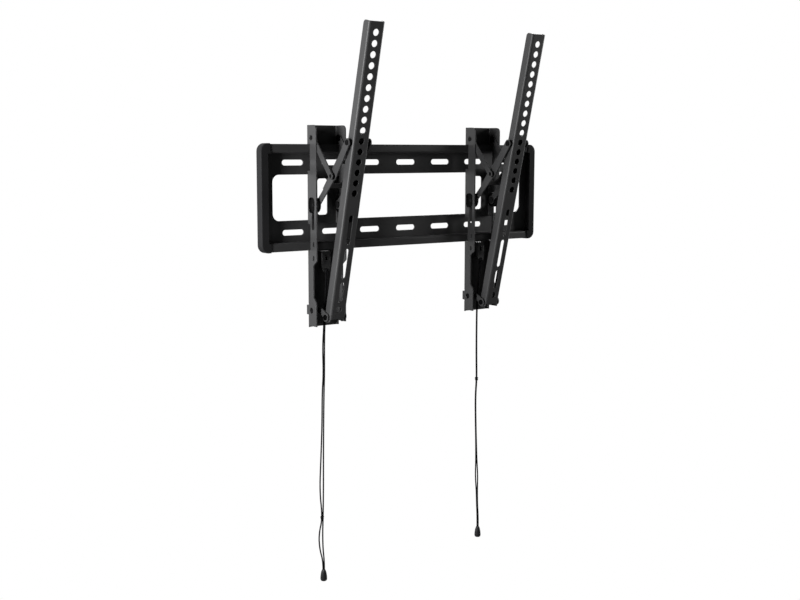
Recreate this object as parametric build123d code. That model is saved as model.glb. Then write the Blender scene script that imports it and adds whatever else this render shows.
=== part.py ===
from build123d import *
import os
from math import asin, cos, degrees, radians, sin, sqrt, tan

# All sizes are in millimetres. X runs along the wall, the wall is the plane Y = 0,
# the television side is -Y and Z is up. The origin is the middle of the plate's back.

# Wall plate
plate_width = 523.0
plate_height = 153.8
plate_sheet = 2.0
plate_bend = 2.5
plate_corner = 10.5
rail_depth = 11.5
lip_height = 12.5
rail_face_height = 31.3
window_margin = 23.2
window_corner = 10.5
stud_spacing = 406.4
slot_columns = 7
slot_length = 36.0
slot_height = 8.2
slot_below_lip = 14.0

# End caps
cap_wall = 0.9
cap_gap = 0.2
cap_round = 1.8
cap_width = 12.0
cap_tongue = 3.5
cap_inner_wall_height = 124.0

# Bracket channel
left_bracket_x = -154.0
right_bracket_x = 143.4
channel_width = 52.4
channel_sheet = 2.0
channel_bend = 3.0
channel_back = -2.3
channel_front = -28.0
channel_above_plate = 27.3
channel_bottom = -190.8
flange_end_gap = 2.4
far_flange_end_gap = 6.5
channel_round = 7.0
waist_front = -18.8
foot_front = -26.0
waist_top = -99.0
waist_bottom = -146.0
waist_slope = 7.0
rail_gap = 0.3
hook_chamfer = 1.2
notch_past_lip = 26.0
bottom_notch_gap = 0.5
relief_levels = (-156.0, -174.0)
relief_depth = 3.5
relief_height = 4.0
wall_pad_gap = 0.3
web_window_width = 17.6
web_window_top = 27.0
web_window_bottom = -26.0
web_window_corner = 4.0
lance_y = -19.8
lance_levels = (-67.8, -88.2)
lance_width = 4.0
lance_height = 7.0
keyhole_y = -15.25
keyhole_width = 16.5
keyhole_height = 22.5
keyhole_corner = 6.0

# Pivots, with the arm tilted fully forward
top_pivot_y = -15.0
top_pivot_above_plate = 9.1
lower_pivot = (-13.0, -165.5)
guide_line = -18.7
link_length = 72.0
link_open_angle = 41.0
link_closed_angle = 13.0
scissor_lower_length = 61.0
scissor_upper_length = 58.96
scissor_kink = 8.9
pivot_radius = 3.0
slider_radius = 2.6
lower_pivot_radius = 3.3
lower_hole_radius = 4.4
running_gap = 0.05
side_gap = 0.3
scissor_gap = 2.8
rivet_head_radius = 5.0
rivet_head_height = 1.0
rivet_countersink = 4.2
pin_head_radius = 4.0
pin_head_height = 1.2
guide_slot_width = 6.6
guide_slot_spare = 0.7

# Links and scissor frame
link_sheet = 2.0
link_width = 9.0
short_link_eye = 5.0
link_eye = 6.5
scissor_width = 9.5
scissor_crossing_eye = 6.2
scissor_arm_eye = 5.8
scissor_bend = 2.5
scissor_web_depth = 10.0
scissor_web_return = 6.0
scissor_web_top = 22.0
scissor_web_bottom = -32.0
scissor_window_width = 22.0
scissor_window_top = 15.0
scissor_window_bottom = -24.0
scissor_window_corner = 6.0
slider_bush_radius = 11.2
spacer_radius = 5.4
spacer_length = 3.4
lower_link_bulge = 3.0
lower_link_eye = 6.0
lower_shoulder_radius = 5.5
lower_pin_recess = 0.9
foot_washer = 0.7

# Television arm, measured down from its top hole
arm_sheet = 1.5
arm_bend = 3.0
arm_depth = 13.8
arm_far_depth = 8.0
arm_far_taper_above_low_hole = (52.0, 36.0)
arm_tilt = 13.7
arm_above_top_hole = 15.0
arm_below_low_hole = 15.0
arm_round = 5.0
arm_hole_radius = 4.8
arm_hole_pitch = 15.0
television_hole_spacing = 400.0
arm_slots_above_low_hole = ((143.0, 99.0), (93.0, 48.0), (42.0, 12.0))
arm_slot_width = 7.0
arm_hole_to_slot = 20.0
arm_pivot_down = 153.2
arm_pivot_depth = 7.6
box_above_pivot = 12.0
box_below_pivot = 118.0
foot_pivot_above_end = 1.5
foot_pivot_depth = 8.0
foot_eye = 8.0

# Latch
latch_sheet = 1.5
latch_width = 16.5
latch_depth = 9.4
latch_height = 23.8
latch_below_plate = 2.0
latch_foot_width = 6.8
latch_tongue = 8.9
latch_tongue_inset = 0.5
latch_bend = 1.5
latch_window_down = 10.6
latch_window_width = 4.0
latch_window_height = 7.0
spring_seat_width = 11.0
cord_eye_width = 13.0
cord_eye_height = 6.5
cord_eye_corner = 3.0
cord_hole_down = 3.1
cord_hole_width = 6.0
cord_hole_height = 2.6
guide_down = 5.1
guide_height = 14.0
guide_sheet = 1.5
guide_lip = 4.0
seat_down = 24.1
seat_sheet = 1.5
seat_width = 8.0
seat_gap = 0.7
spring_radius = 2.1
spring_wire_radius = 0.4
spring_turns = 7
spring_end_gap = 0.05

# Pull cords, each strand as points to the right of its bracket, in depth and in height
cord_radius = 0.95
cord_bend_share = 0.45
left_cord_a = (
    (-1.2, -13.25, -109.2), (-1.2, -13.25, -126.0), (-3.7, -12.6, -156.0), (-5.5, -12.2, -189.0),
    (-7.5, -12.9, -222.0), (-6.4, -12.2, -262.0), (-8.7, -12.9, -290.0), (-10.1, -12.6, -340.0),
    (-11.2, -12.8, -390.0), (-13.1, -12.9, -440.0), (-10.7, -12.2, -483.0), (-14.6, -12.9, -508.0),
    (-13.7, -13.0, -532.0), (-9.4, -13.25, -550.0), (-9.4, -13.25, -563.9),
)
left_cord_b = (
    (1.2, -13.25, -109.2), (1.2, -13.25, -126.0), (-1.1, -13.9, -156.0), (-3.7, -14.4, -189.0),
    (-2.5, -13.6, -222.0), (-4.7, -14.4, -262.0), (-3.9, -13.7, -290.0), (-5.5, -13.9, -340.0),
    (-5.7, -13.7, -390.0), (-6.7, -13.6, -440.0), (-8.5, -14.4, -483.0), (-8.2, -13.6, -508.0),
    (-8.5, -13.5, -532.0), (-7.2, -13.25, -550.0), (-7.2, -13.25, -563.9),
)
right_cord_a = (
    (-1.2, -13.25, -109.2), (-1.2, -13.25, -126.0), (-5.7, -12.9, -154.0), (-8.4, -12.9, -186.0),
    (-6.1, -12.2, -212.0), (-6.9, -12.4, -242.0), (-5.9, -12.5, -275.0), (-4.9, -12.2, -304.0),
    (-7.4, -12.4, -332.0), (-6.9, -12.5, -370.0), (-4.9, -12.3, -410.0), (-3.8, -12.4, -445.0),
    (-5.5, -12.9, -468.0), (-2.9, -12.2, -492.0), (-2.0, -12.4, -518.0), (-1.0, -13.25, -540.0),
    (-1.0, -13.25, -555.9),
)
right_cord_b = (
    (1.2, -13.25, -109.2), (1.2, -13.25, -126.0), (-0.9, -13.6, -154.0), (-2.2, -13.7, -186.0),
    (-4.2, -14.3, -212.0), (-4.7, -14.4, -242.0), (-3.6, -14.5, -275.0), (-2.8, -14.4, -304.0),
    (-5.3, -14.5, -332.0), (-5.0, -14.4, -370.0), (-2.8, -14.5, -410.0), (-1.6, -14.3, -445.0),
    (0.9, -13.6, -468.0), (-0.7, -14.4, -492.0), (0.1, -14.2, -518.0), (1.2, -13.25, -540.0),
    (1.2, -13.25, -555.9),
)
pull_tab_outline = ((2.2, 0.0), (3.1, 1.6), (4.4, 6.6), (5.1, 13.0), (4.6, 16.6), (1.2, 17.8))
pull_tab_height = 18.6

# Places that follow from the sizes above
sheet_width = plate_width - 2 * (cap_wall + cap_gap)
plate_edge = plate_height / 2
lip_level = plate_edge - lip_height
window_width = sheet_width - 2 * window_margin
window_height = 2 * (lip_level - rail_face_height)
slot_row_spacing = 2 * (lip_level - slot_below_lip)
rail_front = -rail_depth
lip_back = plate_sheet - rail_depth
cap_front = rail_front - cap_gap - cap_wall
slot_pitch = stud_spacing / (slot_columns - 1)
flange_outer = channel_width / 2
flange_inner = flange_outer - channel_sheet
web_front = channel_back - channel_sheet
channel_top = plate_edge + channel_above_plate
top_pivot = (top_pivot_y, plate_edge + top_pivot_above_plate)
link_outer = flange_inner - side_gap
link_inner = link_outer - link_sheet
scissor_outer = link_inner - scissor_gap
scissor_inner = scissor_outer - link_sheet
arm_side = scissor_inner - spacer_length - side_gap
arm_width = 2 * arm_side
lower_link_inner = arm_side + foot_washer + side_gap
lower_link_outer = lower_link_inner + link_sheet
bore = pivot_radius + running_gap
slider_bore = slider_radius + running_gap
arm_web_end = television_hole_spacing + arm_below_low_hole
foot_pivot_down = arm_web_end - foot_pivot_above_end
box_top = box_above_pivot - arm_pivot_down
box_bottom = -box_below_pivot - arm_pivot_down
latch_top = -plate_edge - latch_below_plate
latch_bottom = latch_top - latch_height
latch_foot_front = web_front - side_gap - latch_sheet
latch_front = web_front - side_gap - latch_depth
seat_level = latch_top - seat_down


def slider_level(link_angle):
    """Return the crossing pivot and the slider's height for one angle of the short links."""
    y = top_pivot[0] - link_length * sin(radians(link_angle))
    z = top_pivot[1] - link_length * cos(radians(link_angle))
    return (y, z), z - sqrt(scissor_lower_length ** 2 - (guide_line - y) ** 2)


def turned(point, angle):
    """Return a point in the (Y, Z) plane turned about the origin."""
    c = cos(radians(angle))
    s = sin(radians(angle))
    return (point[0] * c - point[1] * s, point[0] * s + point[1] * c)


def shifted(point, offset):
    """Return a point in the (Y, Z) plane moved by an offset."""
    return (point[0] + offset[0], point[1] + offset[1])


crossing_pivot, slider_open_level = slider_level(link_open_angle)
slider_closed_level = slider_level(link_closed_angle)[1]
slider_pivot = (guide_line, slider_open_level)
scissor_lower_lean = degrees(asin((guide_line - crossing_pivot[0]) / scissor_lower_length))
scissor_upper_lean = scissor_lower_lean - scissor_kink
scissor_web_lean = scissor_lower_lean - scissor_kink / 2
arm_pivot = shifted(crossing_pivot, turned((0, scissor_upper_length), scissor_upper_lean))
arm_to_pivot = turned((arm_pivot_depth, -arm_pivot_down), arm_tilt)
arm_top_hole = shifted(arm_pivot, (-arm_to_pivot[0], -arm_to_pivot[1]))
foot_pivot = shifted(arm_top_hole, turned((foot_pivot_depth, -foot_pivot_down), arm_tilt))


def side_solid(profile, x_from, x_to):
    """Push a (Y, Z) profile along X."""
    return Pos(x_from, 0, 0) * extrude(Plane.YZ * profile, x_to - x_from)


def front_solid(profile, y_front, y_back):
    """Push an (X, Z) profile along Y."""
    return Pos(0, y_back, 0) * extrude(Plane.XZ * profile, y_back - y_front)


def block(x_from, x_to, y_from, y_to, z_from, z_to):
    """Return a box between two corners."""
    middle = Pos((x_from + x_to) / 2, (y_from + y_to) / 2, (z_from + z_to) / 2)
    return middle * Box(x_to - x_from, y_to - y_from, z_to - z_from)


def folded(points, sheet, bend):
    """Return the section of a folded sheet that follows its middle line."""
    return trace(FilletPolyline(*points, radius=bend), sheet)


def disc(point, radius):
    """Return a circle at a point of a profile."""
    return Pos(*point) * Circle(radius)


def upright_slot(level_from, level_to, width):
    """Return an upright slot with round ends."""
    middle = Pos(0, (level_from + level_to) / 2)
    return middle * Rot(0, 0, 90) * SlotOverall(abs(level_to - level_from), width)


def rod(point, radius, x_from, x_to):
    """Return a round rod along X through a pivot."""
    return side_solid(disc(point, radius), x_from, x_to)


def ring(point, outer, inner, x_from, x_to):
    """Return a ring along X about a pivot."""
    return side_solid(disc(point, outer) - disc(point, inner), x_from, x_to)


def bar(start, end, width):
    """Return a flat bar with round ends between two pivots."""
    return make_hull((disc(start, width / 2) + disc(end, width / 2)).edges())


def twin(solid):
    """Return a piece for the left-hand side of a bracket."""
    return mirror(solid, about=Plane.YZ)


def both(solid):
    """Return a piece together with its twin."""
    return Compound([solid, twin(solid)])


def plate_outline(grow):
    """Return the outline of the wall plate, grown all round."""
    width = sheet_width + 2 * grow
    height = plate_height + 2 * grow
    return RectangleRounded(width, height, plate_corner + grow)


def wall_plate():
    """Folded sheet with a slotted rail along the top and the bottom."""
    middle = -plate_sheet / 2
    lip = lip_back - plate_sheet / 2
    shelf = lip_level + plate_sheet / 2
    edge = plate_edge
    path = ((lip, -edge), (lip, -shelf), (middle, -shelf), (middle, shelf), (lip, shelf), (lip, edge))
    plate = side_solid(folded(path, plate_sheet, plate_bend), -sheet_width / 2, sheet_width / 2)
    plate &= front_solid(plate_outline(0), 2 * rail_front, 0)
    openings = RectangleRounded(window_width, window_height, window_corner)
    for place in GridLocations(slot_pitch, slot_row_spacing, slot_columns, 2):
        openings += place * SlotOverall(slot_length, slot_height)
    return plate - front_solid(openings, -2 * plate_sheet, plate_sheet)


def end_cap():
    """Moulded cap over the right-hand end of the plate."""
    inner = plate_width / 2 - cap_width
    tongue = inner - cap_tongue
    far = plate_width
    outside = front_solid(plate_outline(cap_gap + cap_wall), cap_front, 0)
    outside = fillet(outside.faces().sort_by(Axis.Y)[0].edges(), cap_round)
    shell = outside - front_solid(plate_outline(cap_gap), rail_front - cap_gap, 1)
    kept = block(inner, far, -far, far, -far, far)
    kept += block(tongue, far, -far, far, lip_level, far)
    kept += block(tongue, far, -far, far, -far, -lip_level)
    half = cap_inner_wall_height / 2
    wall = block(inner, inner + cap_wall, cap_front, -plate_sheet - cap_gap, -half, half)
    return (shell & kept) + wall


def channel_outline():
    """Return the outline of the channel seen from the side."""
    outline = Polygon(
        (channel_back, channel_top), (channel_front, channel_top),
        (channel_front, waist_top + waist_slope), (waist_front, waist_top),
        (waist_front, waist_bottom), (foot_front, waist_bottom - waist_slope),
        (foot_front, channel_bottom), (channel_back, channel_bottom), align=None)
    corner = outline.vertices().sort_by_distance((channel_front, channel_top))[0]
    outline = fillet(corner, channel_round)
    hook_back = lip_back + rail_gap
    hook_front = rail_front - rail_gap
    hook_level = lip_level + plate_sheet + rail_gap
    notch_bottom = lip_level - notch_past_lip
    outline -= Polygon(
        (0, notch_bottom), (0, hook_level), (hook_back + hook_chamfer, hook_level),
        (hook_back, hook_level + hook_chamfer), (hook_back, plate_edge + rail_gap),
        (hook_front, plate_edge + rail_gap), (hook_front, notch_bottom), align=None)
    notch_top = notch_past_lip - lip_level
    notch_bottom = -plate_edge - bottom_notch_gap
    return outline - Polygon(
        (0, notch_bottom), (0, notch_top), (hook_front, notch_top), (hook_front, notch_bottom), align=None)


def flange_openings():
    """Return the openings in the channel's two flanges, seen from the side."""
    openings = disc(top_pivot, bore) + disc(lower_pivot, lower_hole_radius)
    openings += Pos(keyhole_y, slider_open_level) * RectangleRounded(
        keyhole_width, keyhole_height, keyhole_corner)
    slot_end = slider_closed_level - slider_radius - guide_slot_spare
    openings += Pos(guide_line, 0) * upright_slot(slider_open_level, slot_end, guide_slot_width)
    for level in lance_levels:
        openings += Pos(lance_y, level) * Rectangle(lance_width, lance_height)
    return openings


def flange_foot(end_gap):
    """Return what is cut from the right-hand flange near its end, and the pad that it gets there."""
    cut = block(flange_inner - channel_sheet, channel_width, 2 * channel_front, web_front - channel_sheet,
                2 * channel_bottom, channel_bottom + end_gap)
    for level in relief_levels:
        nick = Polygon(
            (channel_back + 1, level - relief_height / 2), (channel_back + 1, level + relief_height / 2),
            (channel_back - relief_depth, level), align=None)
        cut += side_solid(nick, flange_inner - side_gap, channel_width)
    high, low = relief_levels
    pad = block(flange_inner, flange_outer, channel_back - channel_bend - channel_sheet, -wall_pad_gap,
                low + relief_height / 2, high - relief_height / 2)
    return cut, pad


def bracket_channel():
    """U-shaped channel that hooks over the top lip and carries the linkage."""
    side = flange_outer - channel_sheet / 2
    web = channel_back - channel_sheet / 2
    path = ((-side, channel_front), (-side, web), (side, web), (side, channel_front))
    section = folded(path, channel_sheet, channel_bend)
    channel = Pos(0, 0, channel_bottom) * extrude(section, channel_top - channel_bottom)
    channel &= side_solid(channel_outline(), -channel_width, channel_width)
    channel -= side_solid(flange_openings(), -channel_width, channel_width)
    ring_depth = channel_sheet / 2
    for x in (-flange_outer, flange_outer - ring_depth):
        channel -= rod(top_pivot, rivet_countersink, x, x + ring_depth)
    window = Pos(0, (web_window_top + web_window_bottom) / 2) * RectangleRounded(
        web_window_width, web_window_top - web_window_bottom, web_window_corner)
    channel -= front_solid(window, 2 * web_front, 0)
    post = latch_width / 2 + latch_foot_width + side_gap
    lip = latch_foot_front - side_gap
    top = latch_top - guide_down
    bottom = top - guide_height
    guide = block(post, post + guide_sheet, lip - guide_sheet, web_front, bottom, top)
    guide += block(post + guide_sheet - guide_lip, post + guide_sheet, lip - guide_sheet, lip, bottom, top)
    half = seat_width / 2
    under = seat_level - seat_sheet
    seat = block(-half, half, latch_front + latch_sheet + seat_gap, web_front, under, seat_level)
    far_cut, pad = flange_foot(far_flange_end_gap)
    near_cut = flange_foot(flange_end_gap)[0]
    channel = channel - far_cut - twin(near_cut) + pad + twin(pad)
    return channel + seat + guide + twin(guide)


def short_link():
    """Flat link between the channel's flange and the scissor frame."""
    profile = bar(top_pivot, crossing_pivot, link_width)
    for pivot in (top_pivot, crossing_pivot):
        profile += disc(pivot, short_link_eye)
    for pivot in (top_pivot, crossing_pivot):
        profile -= disc(pivot, bore)
    return side_solid(profile, link_inner, link_outer)


def scissor_frame():
    """Two side plates joined by a folded web with a window."""
    profile = bar(crossing_pivot, slider_pivot, scissor_width) + disc(slider_pivot, link_eye)
    upper = disc(crossing_pivot, scissor_crossing_eye) + disc(arm_pivot, scissor_arm_eye)
    profile += make_hull(upper.edges())
    plate = side_solid(profile, scissor_inner, scissor_outer)
    side = (scissor_inner + scissor_outer) / 2
    back = scissor_web_depth
    end = back - scissor_web_return
    path = ((-side, end), (-side, back), (side, back), (side, end))
    web = extrude(folded(path, link_sheet, scissor_bend), scissor_web_top - scissor_web_bottom)
    web = Pos(0, 0, scissor_web_bottom) * web
    window = Pos(0, (scissor_window_top + scissor_window_bottom) / 2) * RectangleRounded(
        scissor_window_width, scissor_window_top - scissor_window_bottom, scissor_window_corner)
    web -= front_solid(window, 0, 2 * back)
    frame = plate + twin(plate) + Pos(0, *crossing_pivot) * Rot(scissor_web_lean, 0, 0) * web
    for pivot, radius in ((crossing_pivot, bore), (arm_pivot, bore), (slider_pivot, slider_bore)):
        frame -= rod(pivot, radius, -channel_width, channel_width)
    return frame


def far_flange_cuts(low_hole):
    """Return what is cut from the arm's right-hand flange, seen from the side, above and below the box."""
    far = arm_far_depth
    back = 2 * arm_depth
    top = arm_web_end
    taper_top, taper_bottom = (low_hole + level for level in arm_far_taper_above_low_hole)
    cuts = Polygon((far, box_top), (back, box_top), (back, top), (far, top), align=None)
    return cuts + Polygon(
        (far, taper_top), (arm_depth, taper_bottom), (back, taper_bottom), (back, box_bottom),
        (far, box_bottom), align=None)


def television_arm():
    """Upright channel with the television's holes, boxed in at its pivot and tilted forward."""
    side = arm_side - arm_sheet / 2
    inside = arm_side - arm_sheet
    path = ((-side, arm_depth), (-side, arm_sheet / 2), (side, arm_sheet / 2), (side, arm_depth))
    foot = foot_pivot_down + foot_eye
    section = folded(path, arm_sheet, arm_bend)
    arm = Pos(0, 0, -foot) * extrude(section, foot + arm_above_top_hole)
    outline = Polygon((0, arm_above_top_hole), (0, -arm_web_end), (arm_depth, -foot_pivot_down),
                      (arm_depth, arm_above_top_hole), align=None)
    corner = outline.vertices().sort_by_distance((arm_depth, arm_above_top_hole))[0]
    outline = fillet(corner, arm_round)
    outline += disc((foot_pivot_depth, -foot_pivot_down), foot_eye)
    for depth, down in ((arm_pivot_depth, arm_pivot_down), (foot_pivot_depth, foot_pivot_down)):
        outline -= disc((depth, -down), bore)
    arm &= side_solid(outline, -arm_width, arm_width)
    arm -= block(-inside, inside, -1, arm_depth, -2 * foot, -arm_web_end)
    low_hole = -television_hole_spacing
    arm -= side_solid(far_flange_cuts(low_hole), 0, arm_width)
    arm += block(-inside, inside, arm_depth - arm_sheet, arm_depth, box_bottom, box_top)
    holes = disc((0, low_hole), arm_hole_radius)
    for start, end in arm_slots_above_low_hole:
        holes += upright_slot(low_hole + start, low_hole + end, arm_slot_width)
    first_slot = television_hole_spacing - arm_slots_above_low_hole[0][0]
    for number in range(1 + int((first_slot - arm_hole_to_slot) / arm_hole_pitch)):
        holes += disc((0, -number * arm_hole_pitch), arm_hole_radius)
    arm -= front_solid(holes, -1, 2 * arm_sheet)
    return Pos(0, *arm_top_hole) * Rot(arm_tilt, 0, 0) * arm


def lower_link():
    """Curved link between the channel's foot and the arm's foot."""
    reach = (foot_pivot[0] - lower_pivot[0], foot_pivot[1] - lower_pivot[1])
    length = sqrt(reach[0] ** 2 + reach[1] ** 2)
    across = (reach[1] / length, -reach[0] / length)
    middle = shifted(lower_pivot, (reach[0] / 2, reach[1] / 2))
    crown = shifted(middle, (across[0] * lower_link_bulge, across[1] * lower_link_bulge))
    profile = trace(ThreePointArc(lower_pivot, crown, foot_pivot), link_width)
    profile += disc(lower_pivot, lower_link_eye) + disc(foot_pivot, link_eye)
    profile -= disc(lower_pivot, bore) + disc(foot_pivot, bore)
    return side_solid(profile, lower_link_inner, lower_link_outer)


def top_pivot_rivet():
    """Rivet through the flange and a short link."""
    head = link_inner - side_gap
    rivet = rod(top_pivot, pivot_radius, head, flange_outer)
    return rivet + rod(top_pivot, rivet_head_radius, head - rivet_head_height, head)


def cross_pivot_rivet():
    """Rivet through a short link and the scissor frame."""
    head = scissor_inner - side_gap
    rivet = rod(crossing_pivot, pivot_radius, head, link_outer)
    rivet += rod(crossing_pivot, rivet_head_radius, scissor_outer, link_inner - side_gap)
    return rivet + rod(crossing_pivot, rivet_head_radius, head - rivet_head_height, head)


def slider_stud():
    """Stud on the scissor frame that runs in a keyhole slot."""
    head = scissor_inner - side_gap
    stud = rod(slider_pivot, slider_radius, head, flange_outer - side_gap)
    return stud + rod(slider_pivot, rivet_head_radius, head - rivet_head_height, head)


def slider_bush():
    """Pad between the scissor frame and the flange."""
    return ring(slider_pivot, slider_bush_radius, slider_bore, scissor_outer, link_outer)


def headed_pin(pivot, head_from):
    """Return a pin with a flat head at each end."""
    head_to = head_from + pin_head_height
    pin = rod(pivot, pivot_radius, -head_to, head_to)
    for x in (-head_to, head_from):
        pin += rod(pivot, pin_head_radius, x, x + pin_head_height)
    return pin


def arm_pivot_spacer():
    """Sleeve that keeps the arm in the middle of the scissor frame."""
    return ring(arm_pivot, spacer_radius, bore, arm_side + side_gap, scissor_inner)


def foot_washer_ring():
    """Washer between the arm's foot and a lower link."""
    return ring(foot_pivot, spacer_radius, bore, arm_side, arm_side + foot_washer)


def lower_pivot_pin():
    """Stepped pin that holds a lower link in the flange's hole."""
    pin = rod(lower_pivot, pivot_radius, lower_link_inner, lower_link_outer)
    pin += rod(lower_pivot, lower_shoulder_radius, lower_link_outer, link_outer)
    return pin + rod(lower_pivot, lower_pivot_radius, link_outer, flange_outer - lower_pin_recess)


def latch_plate():
    """Folded latch whose two tongues reach up behind the bottom lip."""
    foot = latch_foot_front + latch_sheet / 2
    side = latch_width / 2 - latch_sheet / 2
    front = latch_front + latch_sheet / 2
    end = latch_width / 2 + latch_foot_width
    path = ((-end, foot), (-side, foot), (-side, front), (side, front), (side, foot), (end, foot))
    section = folded(path, latch_sheet, latch_bend)
    latch = Pos(0, 0, latch_bottom) * extrude(section, latch_top - latch_bottom)
    start = latch_width / 2 + latch_tongue_inset
    half = latch_sheet / 2
    tongue = block(start, end, foot - half, foot + half, latch_top, latch_top + latch_tongue)
    latch += tongue + twin(tongue)
    latch += block(-spring_seat_width / 2, spring_seat_width / 2, front, foot,
                   latch_top - latch_sheet, latch_top)
    window = Rectangle(latch_window_width, latch_window_height)
    window = Pos(0, latch_top - latch_window_down) * window
    latch -= front_solid(window, latch_front - 1, latch_front + 2 * latch_sheet)
    eye = Pos(0, latch_bottom - cord_eye_height / 2) * Rectangle(cord_eye_width, cord_eye_height)
    eye = fillet(eye.vertices().sort_by(Axis.Y)[:2], cord_eye_corner)
    eye -= Pos(0, latch_bottom - cord_hole_down) * SlotOverall(cord_hole_width, cord_hole_height)
    return latch + front_solid(eye, latch_front, latch_front + latch_sheet)


def latch_spring():
    """Coil that pushes the latch up."""
    start = seat_level + spring_wire_radius + spring_end_gap
    height = latch_top - latch_sheet - spring_wire_radius - spring_end_gap - start
    depth = (web_front + latch_front + latch_sheet) / 2
    coil = Pos(0, depth, start) * Helix(height / spring_turns, height, spring_radius)
    return sweep(Plane(coil @ 0, z_dir=coil % 0) * Circle(spring_wire_radius), path=coil)


def bend_radii(points):
    """Return the bend radius at each inner point of a cord."""
    radii = []
    for before, here, after in zip(points, points[1:], points[2:]):
        run_in = Vector(*here) - Vector(*before)
        run_out = Vector(*after) - Vector(*here)
        half_turn = radians(run_in.get_angle(run_out)) / 2
        radii.append(cord_bend_share * min(run_in.length, run_out.length) / tan(half_turn))
    return radii


def pull_cord(points):
    """One strand of a pull cord."""
    radii = bend_radii(points)
    path = FilletPolyline(*points, radius=radii)
    print("cord length", round(path.length, 1), "bends", [round(radius) for radius in radii])
    return sweep(Plane(path @ 0, z_dir=path % 0) * Circle(cord_radius), path=path)


def pull_tab(points_a, points_b):
    """Bell-shaped pull under the two strands."""
    top = (Vector(*points_a[-1]) + Vector(*points_b[-1])) / 2
    side = Spline(*[(radius, -down) for radius, down in pull_tab_outline])
    tip = (0, -pull_tab_height)
    edge = side + Line(side @ 1, tip) + Line(tip, (0, 0)) + Line((0, 0), side @ 0)
    return Pos(*top) * revolve(Plane.XZ * make_face(edge), Axis.Z)


def bracket_pieces(points_a, points_b):
    """Return every piece of one bracket, with the bracket at X = 0."""
    pair_link = short_link()
    pair_lower = lower_link()
    return {
        "bracket_channel": bracket_channel(),
        "short_link_a": twin(pair_link),
        "short_link_b": pair_link,
        "scissor_frame": scissor_frame(),
        "tv_arm": television_arm(),
        "lower_link_a": twin(pair_lower),
        "lower_link_b": pair_lower,
        "top_pivot_rivets": both(top_pivot_rivet()),
        "cross_pivot_rivets": both(cross_pivot_rivet()),
        "slider_studs": both(slider_stud()),
        "slider_bushes": both(slider_bush()),
        "arm_pivot_pin": headed_pin(arm_pivot, scissor_outer),
        "arm_pivot_spacers": both(arm_pivot_spacer()),
        "foot_pin": headed_pin(foot_pivot, lower_link_outer + side_gap),
        "foot_washers": both(foot_washer_ring()),
        "lower_pivot_pins": both(lower_pivot_pin()),
        "latch_plate": latch_plate(),
        "latch_spring": latch_spring(),
        "pull_cord_a": pull_cord(points_a),
        "pull_cord_b": pull_cord(points_b),
        "pull_tab": pull_tab(points_a, points_b),
    }


os.makedirs("parts", exist_ok=True)
right_cap = end_cap()
nodes = {"wall_plate": wall_plate(), "end_cap_left": twin(right_cap), "end_cap_right": right_cap}
for name, x, points_a, points_b in (
        ("left", left_bracket_x, left_cord_a, left_cord_b),
        ("right", right_bracket_x, right_cord_a, right_cord_b)):
    for piece, solid in bracket_pieces(points_a, points_b).items():
        nodes[name + "_" + piece] = Pos(x, 0, 0) * solid
for node, solid in nodes.items():
    export_step(solid, "parts/" + node + ".step")
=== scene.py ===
"""Looks of a tilting television wall bracket: cords, springs, finishes, camera and light."""

from math import cos, pi, radians, sin

import bpy
from mathutils import Euler, Matrix, Vector


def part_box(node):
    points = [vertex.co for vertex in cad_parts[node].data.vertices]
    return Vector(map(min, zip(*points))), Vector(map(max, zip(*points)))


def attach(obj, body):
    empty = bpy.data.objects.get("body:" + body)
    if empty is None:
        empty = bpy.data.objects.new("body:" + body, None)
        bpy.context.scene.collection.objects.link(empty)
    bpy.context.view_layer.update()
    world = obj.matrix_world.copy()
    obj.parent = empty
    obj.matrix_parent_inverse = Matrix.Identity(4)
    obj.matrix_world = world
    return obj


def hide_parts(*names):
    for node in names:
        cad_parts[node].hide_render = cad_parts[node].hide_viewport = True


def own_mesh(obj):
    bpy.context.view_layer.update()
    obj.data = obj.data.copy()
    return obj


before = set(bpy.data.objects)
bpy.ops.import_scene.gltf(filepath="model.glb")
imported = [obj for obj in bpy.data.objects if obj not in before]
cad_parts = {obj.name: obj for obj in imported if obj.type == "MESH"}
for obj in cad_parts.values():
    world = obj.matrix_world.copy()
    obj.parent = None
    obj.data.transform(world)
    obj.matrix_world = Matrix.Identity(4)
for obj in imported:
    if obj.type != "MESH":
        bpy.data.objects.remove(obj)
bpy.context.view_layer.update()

bl_info = {
    "name": "Tilting wall bracket looks",
    "version": (1, 0, 0),
    "blender": (4, 5, 0),
    "location": "View3D > Sidebar > Wall bracket",
    "description": "Hangs the pull cords, winds the springs, coats the metal and sets the studio",
    "category": "Object",
}

SIDES = ("left", "right")

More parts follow.
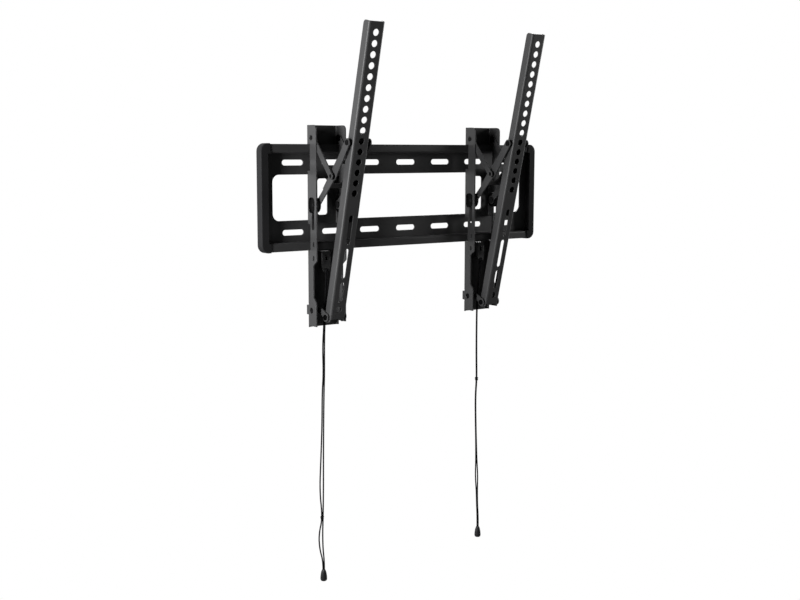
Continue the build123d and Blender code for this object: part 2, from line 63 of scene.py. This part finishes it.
# Route of each cord strand, in metres: to the right of its bracket's middle, in depth and in height.
# These are the points of the part's own cords, some of them moved to follow the photograph.
CORD_ROUTES = {
    "left_pull_cord_a": (
        (-0.0012, -0.01325, -0.1092), (-0.0012, -0.01325, -0.126), (-0.0032, -0.0136, -0.156),
        (-0.0053, -0.0136, -0.189), (-0.0075, -0.01325, -0.222), (-0.0066, -0.0136, -0.262),
        (-0.0088, -0.01325, -0.29), (-0.0095, -0.01325, -0.34), (-0.0118, -0.01325, -0.39),
        (-0.0146, -0.01325, -0.44), (-0.01, -0.0136, -0.483), (-0.0168, -0.01325, -0.508),
        (-0.015, -0.01325, -0.532), (-0.0094, -0.01325, -0.55), (-0.0094, -0.01325, -0.5639),
    ),
    "left_pull_cord_b": (
        (0.0012, -0.01325, -0.1092), (0.0012, -0.01325, -0.126), (-0.0011, -0.0129, -0.156),
        (-0.0032, -0.0129, -0.189), (-0.0044, -0.01325, -0.222), (-0.0043, -0.0129, -0.262),
        (-0.0056, -0.01325, -0.29), (-0.0067, -0.01325, -0.34), (-0.0074, -0.01325, -0.39),
        (-0.0078, -0.01325, -0.44), (-0.0086, -0.0129, -0.483), (-0.0098, -0.01325, -0.508),
        (-0.0093, -0.01325, -0.532), (-0.0072, -0.01325, -0.55), (-0.0072, -0.01325, -0.5639),
    ),
    "right_pull_cord_a": (
        (-0.0012, -0.01325, -0.1092), (-0.0012, -0.01325, -0.126), (-0.0048, -0.0138, -0.154),
        (-0.0073, -0.0138, -0.186), (-0.0074, -0.0138, -0.212), (-0.0074, -0.0138, -0.242),
        (-0.0071, -0.0138, -0.275), (-0.0062, -0.0138, -0.304), (-0.0084, -0.0138, -0.332),
        (-0.0076, -0.0138, -0.37), (-0.0062, -0.0138, -0.41), (-0.0052, -0.01325, -0.445),
        (-0.006, -0.01325, -0.468), (-0.0036, -0.01325, -0.492), (-0.0028, -0.0136, -0.518),
        (-0.001, -0.01325, -0.54), (-0.001, -0.01325, -0.5559),
    ),
    "right_pull_cord_b": (
        (0.0012, -0.01325, -0.1092), (0.0012, -0.01325, -0.126), (-0.0029, -0.0127, -0.154),
        (-0.0054, -0.0127, -0.186), (-0.0055, -0.0127, -0.212), (-0.0055, -0.0127, -0.242),
        (-0.005, -0.0127, -0.275), (-0.0042, -0.0127, -0.304), (-0.0065, -0.0127, -0.332),
        (-0.0057, -0.0127, -0.37), (-0.0041, -0.0127, -0.41), (-0.0028, -0.01325, -0.445),
        (-0.0008, -0.01325, -0.468), (-0.0013, -0.01325, -0.492), (-0.0004, -0.0129, -0.518),
        (0.0012, -0.01325, -0.54), (0.0012, -0.01325, -0.5559),
    ),
}

# Middle of the knot in each doubled cord, given as the routes are
KNOT_PLACES = {"left": (-0.0103, -0.0133, -0.4825), "right": (-0.0056, -0.0133, -0.304)}
KNOT_POINTS = 24

# One half of the loop through a latch's cord hole, given as the routes are
HITCH_HALF = (
    (0.0012, -0.01325, -0.1097), (0.0012, -0.0151, -0.1086), (0.0012, -0.0153, -0.1068),
    (0.0011, -0.0143, -0.1055), (0.0009, -0.0122, -0.1056), (0.0005, -0.0113, -0.1068),
)

COATED_STEEL = (
    "bracket_channel", "short_link_a", "short_link_b", "scissor_frame", "tv_arm",
    "lower_link_a", "lower_link_b", "latch_plate",
)
DARK_PIVOTS = (
    "top_pivot_rivets", "cross_pivot_rivets", "slider_studs", "arm_pivot_pin",
    "arm_pivot_spacers", "foot_pin", "foot_washers", "lower_pivot_pins",
)

# Fineness of the springs' mesh, with the distance in metres
WIRE_SIDES = 10
STEPS_PER_TURN = 20
WELD_DISTANCE = 0.00001
SMOOTH_ANGLE = radians(50)

# Width of the camera's sensor in millimetres, and the point in metres that the lamps face
SENSOR_WIDTH = 36.0
LAMP_AIM = Vector((0, -0.05, 0))

BLACK = (0.0, 0.0, 0.0, 1.0)
WHITE = (1.0, 1.0, 1.0, 1.0)


def bracket_centre(side):
    """Return how far to the right the middle of a bracket is."""
    low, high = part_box(side + "_bracket_channel")
    return (low[0] + high[0]) / 2


def shade(colour, factor):
    """Return a colour made lighter or darker, with an alpha of 1."""
    return (*[min(1.0, channel * factor) for channel in colour], 1.0)


def uneven(middle, pattern, spread):
    """Return a level that a pattern moves by half a spread to each side."""
    return middle - spread / 2 + pattern * spread


class Signal:
    """An output of a shader node that can be used in sums."""

    def __init__(self, finish, socket):
        self.finish = finish
        self.socket = socket

    def combined(self, operation, first, second):
        """Return the outcome of a Math node."""
        return self.finish.node("ShaderNodeMath", {"operation": operation}, {0: first, 1: second})

    def __add__(self, other):
        return self.combined("ADD", self, other)

    def __radd__(self, other):
        return self.combined("ADD", other, self)

    def __sub__(self, other):
        return self.combined("SUBTRACT", self, other)

    def __rsub__(self, other):
        return self.combined("SUBTRACT", other, self)

    def __mul__(self, other):
        return self.combined("MULTIPLY", self, other)

    def __rmul__(self, other):
        return self.combined("MULTIPLY", other, self)

    def largest(self, other):
        return self.combined("MAXIMUM", self, other)


class Finish:
    """A material, or the world, and the nodes that give it its look."""

    def __init__(self, owner):
        self.owner = owner
        owner.use_nodes = True
        self.tree = owner.node_tree

    def node(self, kind, settings=None, sockets=None, output=0):
        """Add a node, set it up, join its sockets and return one of its outputs."""
        made = self.tree.nodes.new(kind)
        for key, value in (settings or {}).items():
            if key == "stops":
                self.set_stops(made.color_ramp, value)
            else:
                setattr(made, key, value)
        for key, value in (sockets or {}).items():
            self.join(made.inputs[key], value)
        return Signal(self, made.outputs[output])

    def set_stops(self, ramp, stops):
        """Give a ramp its two stops."""
        for element, (position, colour) in zip(ramp.elements, stops):
            element.position = position
            element.color = colour

    def join(self, socket, value):
        """Feed a socket from a signal, or set it to a constant."""
        if isinstance(value, Signal):
            self.tree.links.new(value.socket, socket)
        else:
            socket.default_value = value

    def surface(self, sockets):
        """Set the sockets of the surface shader."""
        for key, value in sockets.items():
            self.join(self.tree.nodes["Principled BSDF"].inputs[key], value)

    def outcome(self, output, shader):
        """Feed the output node from a shader."""
        self.join(self.tree.nodes[output].inputs["Surface"], shader)

    def ray(self, kind):
        """Return 1 for rays of one kind and 0 for the others."""
        return self.node("ShaderNodeLightPath", output="Is " + kind + " Ray")

    def place(self):
        """Return the point on the object."""
        return self.node("ShaderNodeTexCoord", output="Object")

    def noise(self, place, scale, detail=2.0):
        """Return a noise pattern between 0 and 1."""
        sockets = {"Vector": place, "Scale": scale, "Detail": detail}
        return self.node("ShaderNodeTexNoise", None, sockets, "Fac")

    def stretched(self, place, scale):
        """Return the point on the object, stretched."""
        return self.node("ShaderNodeMapping", None, {"Vector": place, "Scale": scale})

    def between(self, signal, low, high):
        """Return a signal cut to the part between two levels."""
        stops = ((low, BLACK), (high, WHITE))
        return self.node("ShaderNodeValToRGB", {"stops": stops}, {"Fac": signal})

    def blend(self, factor, first, second):
        """Return a colour between two colours."""
        # Sockets 6 and 7 and output 2 are the ones that a Mix node has for colours
        return self.node("ShaderNodeMix", {"data_type": "RGBA"}, {0: factor, 6: first, 7: second}, 2)

    def clouded(self, pattern, colour, dark, light):
        """Return a colour that a pattern makes darker and lighter."""
        return self.blend(pattern, shade(colour, dark), shade(colour, light))

    def soft_edges(self, radius):
        """Return the surface normal with its edges rounded over."""
        return self.node("ShaderNodeBevel", {"samples": 4}, {"Radius": radius})

    def edge_mask(self, rounded):
        """Return how far the rounded normal leaves the flat one."""
        flat = self.node("ShaderNodeNewGeometry", output="Normal")
        product = {"operation": "DOT_PRODUCT"}
        return 1 - self.node("ShaderNodeVectorMath", product, {0: rounded, 1: flat}, "Value")

    def bump(self, height, distance, strength, normal=None):
        """Return a normal roughened by a height."""
        sockets = {"Height": height, "Distance": distance, "Strength": strength}
        if normal:
            sockets["Normal"] = normal
        return self.node("ShaderNodeBump", None, sockets)


def powder_coat(name, colour, roughness):
    """Matt coat with a fine grain, an uneven tone and slightly worn edges."""
    finish = Finish(bpy.data.materials.new(name))
    place = finish.place()
    grain = finish.noise(place, scale=1500.0)
    peel = finish.noise(place, scale=420.0)
    tone = finish.noise(place, scale=14.0, detail=4.0)
    rounded = finish.soft_edges(radius=0.0005)
    patches = uneven(1.0, tone, spread=0.8)
    worn = finish.between(finish.edge_mask(rounded) * patches, low=0.05, high=0.4)
    coat = finish.clouded(tone, colour, dark=0.82, light=1.18)
    worn_coat = shade(colour, factor=3.0)
    relief = grain * 0.6 + peel * 0.4
    finish.surface({
        "Base Color": finish.blend(worn * 0.5, coat, worn_coat),
        "Roughness": uneven(roughness, grain, spread=0.1),
        "Specular IOR Level": 0.45,
        "Normal": finish.bump(relief, distance=0.00006, strength=0.35, normal=rounded),
    })
    return finish.owner


def moulded_plastic(name, colour, roughness, gloss):
    """Moulded plastic with a fine spark-eroded grain."""
    finish = Finish(bpy.data.materials.new(name))
    place = finish.place()
    grain = finish.noise(place, scale=2600.0, detail=3.0)
    tone = finish.noise(place, scale=30.0)
    rounded = finish.soft_edges(radius=0.0004)
    finish.surface({
        "Base Color": finish.clouded(tone, colour, dark=0.85, light=1.15),
        "Roughness": uneven(roughness, tone, spread=0.12),
        "Specular IOR Level": gloss,
        "Normal": finish.bump(grain, distance=0.00005, strength=0.3, normal=rounded),
    })
    return finish.owner


def blackened_steel(name, colour, roughness):
    """Blackened steel with turning marks and a clouded tone."""
    finish = Finish(bpy.data.materials.new(name))
    place = finish.place()
    along = finish.stretched(place, scale=(40.0, 2400.0, 2400.0))
    marks = finish.noise(along, scale=1.0, detail=3.0)
    clouds = finish.noise(place, scale=300.0, detail=3.0)
    rounded = finish.soft_edges(radius=0.0004)
    finish.surface({
        "Base Color": finish.clouded(clouds, colour, dark=0.75, light=1.2),
        "Metallic": 1.0,
        "Roughness": uneven(roughness, marks, spread=0.16),
        "Normal": finish.bump(marks, distance=0.00004, strength=0.3, normal=rounded),
    })
    return finish.owner


def drawn_wire(name, colour, roughness):
    """Bright spring wire with drawing lines."""
    finish = Finish(bpy.data.materials.new(name))
    along = finish.stretched(finish.place(), scale=(900.0, 900.0, 5000.0))
    lines = finish.noise(along, scale=1.0, detail=3.0)
    finish.surface({
        "Base Color": finish.clouded(lines, colour, dark=0.7, light=1.1),
        "Metallic": 1.0,
        "Roughness": uneven(roughness, lines, spread=0.12),
        "Normal": finish.bump(lines, distance=0.00003, strength=0.25),
    })
    return finish.owner


def braided_cord(name, colour, pitch):
    """Thin braid whose strands cross the cord at a slant."""
    finish = Finish(bpy.data.materials.new(name))
    place = finish.place()
    twist = {"wave_type": "BANDS", "bands_direction": "DIAGONAL", "wave_profile": "SIN"}
    sockets = {"Vector": place, "Scale": 1.0 / pitch, "Distortion": 1.5, "Detail": 1.0}
    strands = finish.node("ShaderNodeTexWave", twist, sockets, "Fac")
    fuzz = finish.noise(place, scale=4000.0, detail=3.0)
    relief = strands * 0.7 + fuzz * 0.3
    finish.surface({
        "Base Color": finish.clouded(strands, colour, dark=0.55, light=1.35),
        "Roughness": uneven(0.85, fuzz, spread=0.2),
        "Specular IOR Level": 0.1,
        "Normal": finish.bump(relief, distance=0.0001, strength=0.5),
    })
    return finish.owner


def paint_node(name, material):
    """Give a piece of the frame its finish."""
    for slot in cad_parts[name].material_slots:
        slot.material = material


def deselect():
    """Leave nothing selected."""
    bpy.ops.object.select_all(action="DESELECT")


def cord_curve(name, points, thickness, closed=False):
    """Return a round cord on the smooth line that its route's points guide."""
    curve = bpy.data.curves.new(name, "CURVE")
    curve.dimensions = "3D"
    spline = curve.splines.new("NURBS")
    spline.points.add(len(points) - 1)
    for target, point in zip(spline.points, points):
        target.co = (*point, 1.0)
    spline.order_u = 3
    spline.use_endpoint_u = not closed
    spline.use_cyclic_u = closed
    spline.resolution_u = 8
    curve.bevel_depth = thickness / 2
    curve.bevel_resolution = 3
    curve.use_fill_caps = True
    cord = bpy.data.objects.new(name, curve)
    bpy.context.collection.objects.link(cord)
    return cord


def made_mesh(piece):
    """Turn a curve into a mesh with smooth faces."""
    deselect()
    piece.select_set(True)
    bpy.context.view_layer.objects.active = piece
    bpy.ops.object.convert(target="MESH")
    bpy.ops.object.shade_smooth()
    return bpy.context.object


def moved(points, offset):
    """Return points moved by an offset."""
    return [tuple(Vector(point) + Vector(offset)) for point in points]


def knot_line(size, depth):
    """Return the closed line of an overhand knot."""
    points = []
    for number in range(KNOT_POINTS):
        turn = 2 * pi * number / KNOT_POINTS
        across = size * (sin(turn) + 2 * sin(2 * turn))
        upward = size * (cos(turn) - 2 * cos(2 * turn))
        points.append((across, depth * sin(3 * turn), upward))
    return points


class BracketCordSizes(bpy.types.PropertyGroup):
    """Sizes of the cord strands and their knots."""

    diameter: bpy.props.FloatProperty(
        name="Cord diameter", description="Thickness of one strand",
        default=0.0022, unit="LENGTH", precision=5)
    knot_size: bpy.props.FloatProperty(
        name="Knot size", description="Size of the knot's loops",
        default=0.0008, unit="LENGTH", precision=5)
    knot_depth: bpy.props.FloatProperty(
        name="Knot depth", description="How far the knot's strands pass over each other",
        default=0.0012, unit="LENGTH", precision=5)


class BracketSpringSizes(bpy.types.PropertyGroup):
    """Sizes of the latch springs."""

    wire: bpy.props.FloatProperty(
        name="Wire", description="Thickness of the spring's wire",
        default=0.0008, unit="LENGTH", precision=5)
    turns: bpy.props.IntProperty(name="Turns", description="Turns of the spring", default=7)
    travel: bpy.props.FloatProperty(
        name="Travel", description="How far the latch squeezes the spring", default=0.012, unit="LENGTH")


class BracketColours(bpy.types.PropertyGroup):
    """Colours of the finishes, and the roughness of the coat."""

    steel: bpy.props.FloatVectorProperty(
        name="Powder coat", description="Colour of the coated steel",
        default=(0.05, 0.05, 0.051), subtype="COLOR", min=0.0, max=1.0)
    steel_roughness: bpy.props.FloatProperty(
        name="Coat roughness", description="Roughness of the coated steel",
        default=0.45, min=0.0, max=1.0)
    caps: bpy.props.FloatVectorProperty(
        name="End caps", description="Colour of the end caps",
        default=(0.021, 0.021, 0.022), subtype="COLOR", min=0.0, max=1.0)
    pivots: bpy.props.FloatVectorProperty(
        name="Pivots", description="Colour of the blackened pins and rivets",
        default=(0.008, 0.008, 0.0085), subtype="COLOR", min=0.0, max=1.0)
    wire: bpy.props.FloatVectorProperty(
        name="Springs", description="Colour of the spring wire",
        default=(0.45, 0.45, 0.46), subtype="COLOR", min=0.0, max=1.0)
    cord: bpy.props.FloatVectorProperty(
        name="Cords", description="Colour of the cords",
        default=(0.012, 0.012, 0.013), subtype="COLOR", min=0.0, max=1.0)
    pull: bpy.props.FloatVectorProperty(
        name="Pulls", description="Colour of the pulls on the cords",
        default=(0.02, 0.02, 0.022), subtype="COLOR", min=0.0, max=1.0)
    pads: bpy.props.FloatVectorProperty(
        name="Slider pads", description="Colour of the pads in the keyhole slots",
        default=(0.005, 0.005, 0.005), subtype="COLOR", min=0.0, max=1.0)


class BracketStage(bpy.types.PropertyGroup):
    """Camera, lamps, floor and room."""

    camera_place: bpy.props.FloatVectorProperty(
        name="Camera", description="Where the camera stands",
        default=(-1.0829, -1.4518, 0.0677), subtype="TRANSLATION", unit="LENGTH")
    camera_yaw: bpy.props.FloatProperty(
        name="Yaw", description="How far the camera looks to the right",
        default=radians(36.49), subtype="ANGLE")
    camera_pitch: bpy.props.FloatProperty(
        name="Pitch", description="How far the camera looks down",
        default=radians(7.31), subtype="ANGLE")
    camera_roll: bpy.props.FloatProperty(
        name="Roll", description="How far the camera leans", default=radians(0.09), subtype="ANGLE")
    camera_lens: bpy.props.FloatProperty(
        name="Lens", description="Focal length on a 36 mm sensor, in millimetres", default=52.4)
    key_place: bpy.props.FloatVectorProperty(
        name="Key place", description="Where the lamp on the left hangs",
        default=(-0.95, -0.2, 0.03), subtype="TRANSLATION", unit="LENGTH")
    key_size: bpy.props.FloatVectorProperty(
        name="Key size", description="Width and height of the lamp on the left",
        default=(0.2, 0.7), size=2, unit="LENGTH")
    key_power: bpy.props.FloatProperty(
        name="Key lamp", description="Power of the lamp on the left", default=11.5, unit="POWER")
    fill_place: bpy.props.FloatVectorProperty(
        name="Fill place", description="Where the lamp on the right hangs",
        default=(1.5, -0.45, 0.3), subtype="TRANSLATION", unit="LENGTH")
    fill_size: bpy.props.FloatVectorProperty(
        name="Fill size", description="Width and height of the lamp on the right",
        default=(0.3, 0.8), size=2, unit="LENGTH")
    fill_power: bpy.props.FloatProperty(
        name="Fill lamp", description="Power of the lamp on the right", default=10.0, unit="POWER")
    rim_place: bpy.props.FloatVectorProperty(
        name="Rim place", description="Where the lamp behind on the right hangs",
        default=(1.3, 1.1, 0.7), subtype="TRANSLATION", unit="LENGTH")
    rim_size: bpy.props.FloatVectorProperty(
        name="Rim size", description="Width and height of the lamp behind on the right",
        default=(0.8, 0.8), size=2, unit="LENGTH")
    rim_power: bpy.props.FloatProperty(
        name="Rim lamp", description="Power of the lamp behind on the right", default=12.0, unit="POWER")
    ambient: bpy.props.FloatProperty(
        name="Ambient", description="Strength of the light from all sides", default=0.01)
    floor_glow: bpy.props.FloatProperty(
        name="Floor glow", description="Brightness of the floor in the pieces' gloss",
        default=0.2, subtype="FACTOR")
    dim_until: bpy.props.FloatProperty(
        name="Dim until", description="Share of the room, from its front, that is dim in the gloss",
        default=0.45, subtype="FACTOR")
    white_from: bpy.props.FloatProperty(
        name="White from", description="Share of the room where its back, white in the gloss, starts",
        default=0.6, subtype="FACTOR")
    floor_level: bpy.props.FloatProperty(
        name="Floor", description="Height of the floor", default=-1.0, unit="LENGTH")
    floor_size: bpy.props.FloatProperty(
        name="Floor size", description="Length of the floor's sides", default=12.0, unit="LENGTH")
    floor_colour: bpy.props.FloatVectorProperty(
        name="Floor colour", description="Colour of the floor in the light that it throws back",
        default=(0.3, 0.3, 0.3), subtype="COLOR", min=0.0, max=1.0)


class BRACKET_OT_hang_cords(bpy.types.Operator):
    """Hang the doubled pull cords with their knots and their loops at the latches"""

    bl_idname = "bracket.hang_cords"
    bl_label = "Hang pull cords"

    def execute(self, context):
        sizes = context.scene.bracket_cords
        braid = braided_cord("cord_braid", context.scene.bracket_colours.cord, pitch=0.0035)
        for side in SIDES:
            centre = bracket_centre(side)
            knot_points = moved(knot_line(sizes.knot_size, sizes.knot_depth), KNOT_PLACES[side])
            knot_points = moved(knot_points, (centre, 0, 0))
            knot = made_mesh(cord_curve(side + "_cord_knot", knot_points, sizes.diameter, closed=True))
            other_half = [(-x, y, z) for x, y, z in reversed(HITCH_HALF)]
            hitch_points = moved([*HITCH_HALF, *other_half], (centre, 0, 0))
            hitch = made_mesh(cord_curve(side + "_cord_hitch", hitch_points, sizes.diameter))
            for strand in ("a", "b"):
                node = side + "_pull_cord_" + strand
                points = moved(CORD_ROUTES[node], (centre, 0, 0))
                cord = cord_curve(side + "_strand_" + strand, points, sizes.diameter)
                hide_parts(node)
                self.dress(cord, side, braid)
            self.dress(knot, side, braid)
            self.dress(hitch, side, braid)
        return {"FINISHED"}

    def dress(self, piece, side, braid):
        """Give a piece of cord its braid and the body that it hangs from."""
        piece.data.materials.clear()
        piece.data.materials.append(braid)
        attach(piece, side + "_latch")


class BRACKET_OT_wind_springs(bpy.types.Operator):
    """Wind the coil spring of each latch"""

    bl_idname = "bracket.wind_springs"
    bl_label = "Wind latch springs"

    def execute(self, context):
        sizes = context.scene.bracket_springs
        wire = drawn_wire("spring_wire", context.scene.bracket_colours.wire, roughness=0.3)
        for side in SIDES:
            node = side + "_latch_spring"
            low, high = (Vector(corner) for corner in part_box(node))
            spring = self.coil(side + "_coil", low, high, sizes)
            spring.data.materials.append(wire)
            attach(spring, side + "_bracket")
            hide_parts(node)
            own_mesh(spring)
        return {"FINISHED"}

    def coil(self, name, low, high, sizes):
        """Turn a ring of wire up a screw line inside a box."""
        deselect()
        radius = (high.x - low.x - sizes.wire) / 2
        pitch = (high.z - low.z - sizes.wire) / sizes.turns
        bpy.ops.mesh.primitive_circle_add(
            vertices=WIRE_SIDES, radius=sizes.wire / 2, location=(radius, 0, 0), rotation=(pi / 2, 0, 0))
        spring = bpy.context.object
        spring.name = name
        bpy.ops.object.transform_apply(location=True, rotation=True, scale=True)
        screw = spring.modifiers.new("Wind", "SCREW")
        screw.angle = 2 * pi
        screw.screw_offset = pitch
        screw.iterations = sizes.turns
        screw.steps = STEPS_PER_TURN
        screw.render_steps = STEPS_PER_TURN
        bpy.ops.object.modifier_apply(modifier=screw.name)
        bpy.ops.object.mode_set(mode="EDIT")
        bpy.ops.mesh.select_all(action="SELECT")
        bpy.ops.mesh.remove_doubles(threshold=WELD_DISTANCE)
        bpy.ops.mesh.fill_holes(sides=0)
        bpy.ops.mesh.normals_make_consistent(inside=False)
        bpy.ops.object.mode_set(mode="OBJECT")
        bpy.ops.object.shade_smooth_by_angle(angle=SMOOTH_ANGLE)
        spring.location = ((low.x + high.x) / 2, (low.y + high.y) / 2, low.z + sizes.wire / 2)
        bpy.ops.object.transform_apply(location=True, rotation=True, scale=True)
        return spring


class BRACKET_OT_coat_steel(bpy.types.Operator):
    """Coat the folded steel pieces"""

    bl_idname = "bracket.coat_steel"
    bl_label = "Coat steel"

    def execute(self, context):
        colours = context.scene.bracket_colours
        coat = powder_coat("black_powder_coat", colours.steel, colours.steel_roughness)
        paint_node("wall_plate", coat)
        for side in SIDES:
            for piece in COATED_STEEL:
                paint_node(side + "_" + piece, coat)
        return {"FINISHED"}


class BRACKET_OT_finish_mouldings(bpy.types.Operator):
    """Finish the end caps, the pulls and the slider pads"""

    bl_idname = "bracket.finish_mouldings"
    bl_label = "Finish mouldings"

    def execute(self, context):
        colours = context.scene.bracket_colours
        caps = moulded_plastic("cap_moulding", colours.caps, roughness=0.5, gloss=0.08)
        pulls = moulded_plastic("pull_moulding", colours.pull, roughness=0.45, gloss=0.4)
        pads = moulded_plastic("nylon_pad", colours.pads, roughness=0.6, gloss=0.04)
        for side in SIDES:
            paint_node("end_cap_" + side, caps)
            paint_node(side + "_pull_tab", pulls)
            paint_node(side + "_slider_bushes", pads)
        return {"FINISHED"}


class BRACKET_OT_blacken_pivots(bpy.types.Operator):
    """Blacken the pins, rivets, sleeves and washers"""

    bl_idname = "bracket.blacken_pivots"
    bl_label = "Blacken pivots"

    def execute(self, context):
        colour = context.scene.bracket_colours.pivots
        steel = blackened_steel("blackened_steel", colour, roughness=0.42)
        for side in SIDES:
            for piece in DARK_PIVOTS:
                paint_node(side + "_" + piece, steel)
        return {"FINISHED"}


class BRACKET_OT_set_stage(bpy.types.Operator):
    """Set the camera, the lamps, the floor and the white surroundings"""

    bl_idname = "bracket.set_stage"
    bl_label = "Set stage"

    def execute(self, context):
        stage = context.scene.bracket_stage
        context.scene.view_settings.view_transform = "Standard"
        self.camera(context, stage)
        self.lamp("key_lamp", stage.key_place, stage.key_size, stage.key_power)
        self.lamp("fill_lamp", stage.fill_place, stage.fill_size, stage.fill_power)
        self.lamp("rim_lamp", stage.rim_place, stage.rim_size, stage.rim_power)
        self.floor(stage)
        self.surroundings(context, stage)
        return {"FINISHED"}

    def camera(self, context, stage):
        """Place the camera as in the photograph."""
        camera = bpy.data.cameras.new("camera")
        camera.sensor_width = SENSOR_WIDTH
        camera.lens = stage.camera_lens
        holder = bpy.data.objects.new("camera", camera)
        turn = Euler((pi / 2 - stage.camera_pitch, 0, -stage.camera_yaw)).to_matrix()
        turn = turn @ Matrix.Rotation(stage.camera_roll, 3, "Z")
        holder.matrix_world = Matrix.Translation(stage.camera_place) @ turn.to_4x4()
        context.collection.objects.link(holder)
        context.scene.camera = holder

    def lamp(self, name, place, size, power):
        """Hang a lamp of some width and height that faces the bracket."""
        lamp = bpy.data.lights.new(name, "AREA")
        lamp.shape = "RECTANGLE"
        lamp.size, lamp.size_y = size
        lamp.energy = power
        holder = bpy.data.objects.new(name, lamp)
        turn = (LAMP_AIM - Vector(place)).to_track_quat("-Z", "Y").to_matrix()
        holder.matrix_world = Matrix.Translation(place) @ turn.to_4x4()
        bpy.context.collection.objects.link(holder)

    def floor(self, stage):
        """Lay a pale floor, white to the camera, far below the bracket."""
        deselect()
        bpy.ops.mesh.primitive_plane_add(size=stage.floor_size, location=(0, 0, stage.floor_level))
        floor = bpy.context.object
        floor.name = "floor"
        bpy.ops.object.transform_apply(location=True, rotation=True, scale=True)
        pale = Finish(bpy.data.materials.new("pale_floor"))
        pale.surface({"Base Color": (*stage.floor_colour, 1.0), "Roughness": 0.9})
        mirrored = pale.ray("Glossy").largest(pale.ray("Transmission"))
        seen = pale.ray("Camera").largest(mirrored)
        lit = Signal(pale, pale.tree.nodes["Principled BSDF"].outputs[0])
        glow = 1 - mirrored * (1 - stage.floor_glow)
        white = pale.node("ShaderNodeEmission", None, {"Strength": glow})
        shader = pale.node("ShaderNodeMixShader", None, {0: seen, 1: lit, 2: white})
        pale.outcome("Material Output", shader)
        floor.data.materials.append(pale.owner)

    def surroundings(self, context, stage):
        """Make the room white to the camera, but in the pieces' gloss dim in front of the bracket."""
        room = Finish(bpy.data.worlds.new("white_studio"))
        towards = room.node("ShaderNodeTexCoord", output="Generated")
        depth = room.node("ShaderNodeSeparateXYZ", None, {0: towards}, "Y")
        share = depth * 0.5 + 0.5
        behind = room.between(share, stage.dim_until, stage.white_from)
        mirrored = room.ray("Glossy").largest(room.ray("Transmission")) * behind
        seen = room.ray("Camera").largest(mirrored)
        lit = room.node("ShaderNodeBackground", None, {"Color": WHITE, "Strength": stage.ambient})
        backdrop = room.node("ShaderNodeBackground", None, {"Color": WHITE, "Strength": 1.0})
        shader = room.node("ShaderNodeMixShader", None, {0: seen, 1: lit, 2: backdrop})
        room.outcome("World Output", shader)
        context.scene.world = room.owner


class BRACKET_PT_looks(bpy.types.Panel):
    """Sidebar panel that lists the steps"""

    bl_idname = "BRACKET_PT_looks"
    bl_label = "Wall bracket"
    bl_space_type = "VIEW_3D"
    bl_region_type = "UI"
    bl_category = "Wall bracket"

    def draw(self, context):
        for step in STEPS:
            self.layout.operator(step)


PROPERTY_GROUPS = {
    "bracket_cords": BracketCordSizes,
    "bracket_springs": BracketSpringSizes,
    "bracket_colours": BracketColours,
    "bracket_stage": BracketStage,
}
OPERATORS = (
    BRACKET_OT_set_stage,
    BRACKET_OT_hang_cords,
    BRACKET_OT_wind_springs,
    BRACKET_OT_coat_steel,
    BRACKET_OT_finish_mouldings,
    BRACKET_OT_blacken_pivots,
)
STEPS = [operator.bl_idname for operator in OPERATORS]


def register():
    """Register the settings, the steps and the panel."""
    for name, group in PROPERTY_GROUPS.items():
        bpy.utils.register_class(group)
        setattr(bpy.types.Scene, name, bpy.props.PointerProperty(type=group))
    for entry in (*OPERATORS, BRACKET_PT_looks):
        bpy.utils.register_class(entry)


def unregister():
    """Take the panel, the steps and the settings away again."""
    for entry in (BRACKET_PT_looks, *reversed(OPERATORS)):
        bpy.utils.unregister_class(entry)
    for name, group in PROPERTY_GROUPS.items():
        delattr(bpy.types.Scene, name)
        bpy.utils.unregister_class(group)


def main():
    """Register the steps and run every one of them in order."""
    register()
    bpy.ops.bracket.set_stage()
    bpy.ops.bracket.hang_cords()
    bpy.ops.bracket.wind_springs()
    bpy.ops.bracket.coat_steel()
    bpy.ops.bracket.finish_mouldings()
    bpy.ops.bracket.blacken_pivots()


if __name__ == "__main__":
    main()
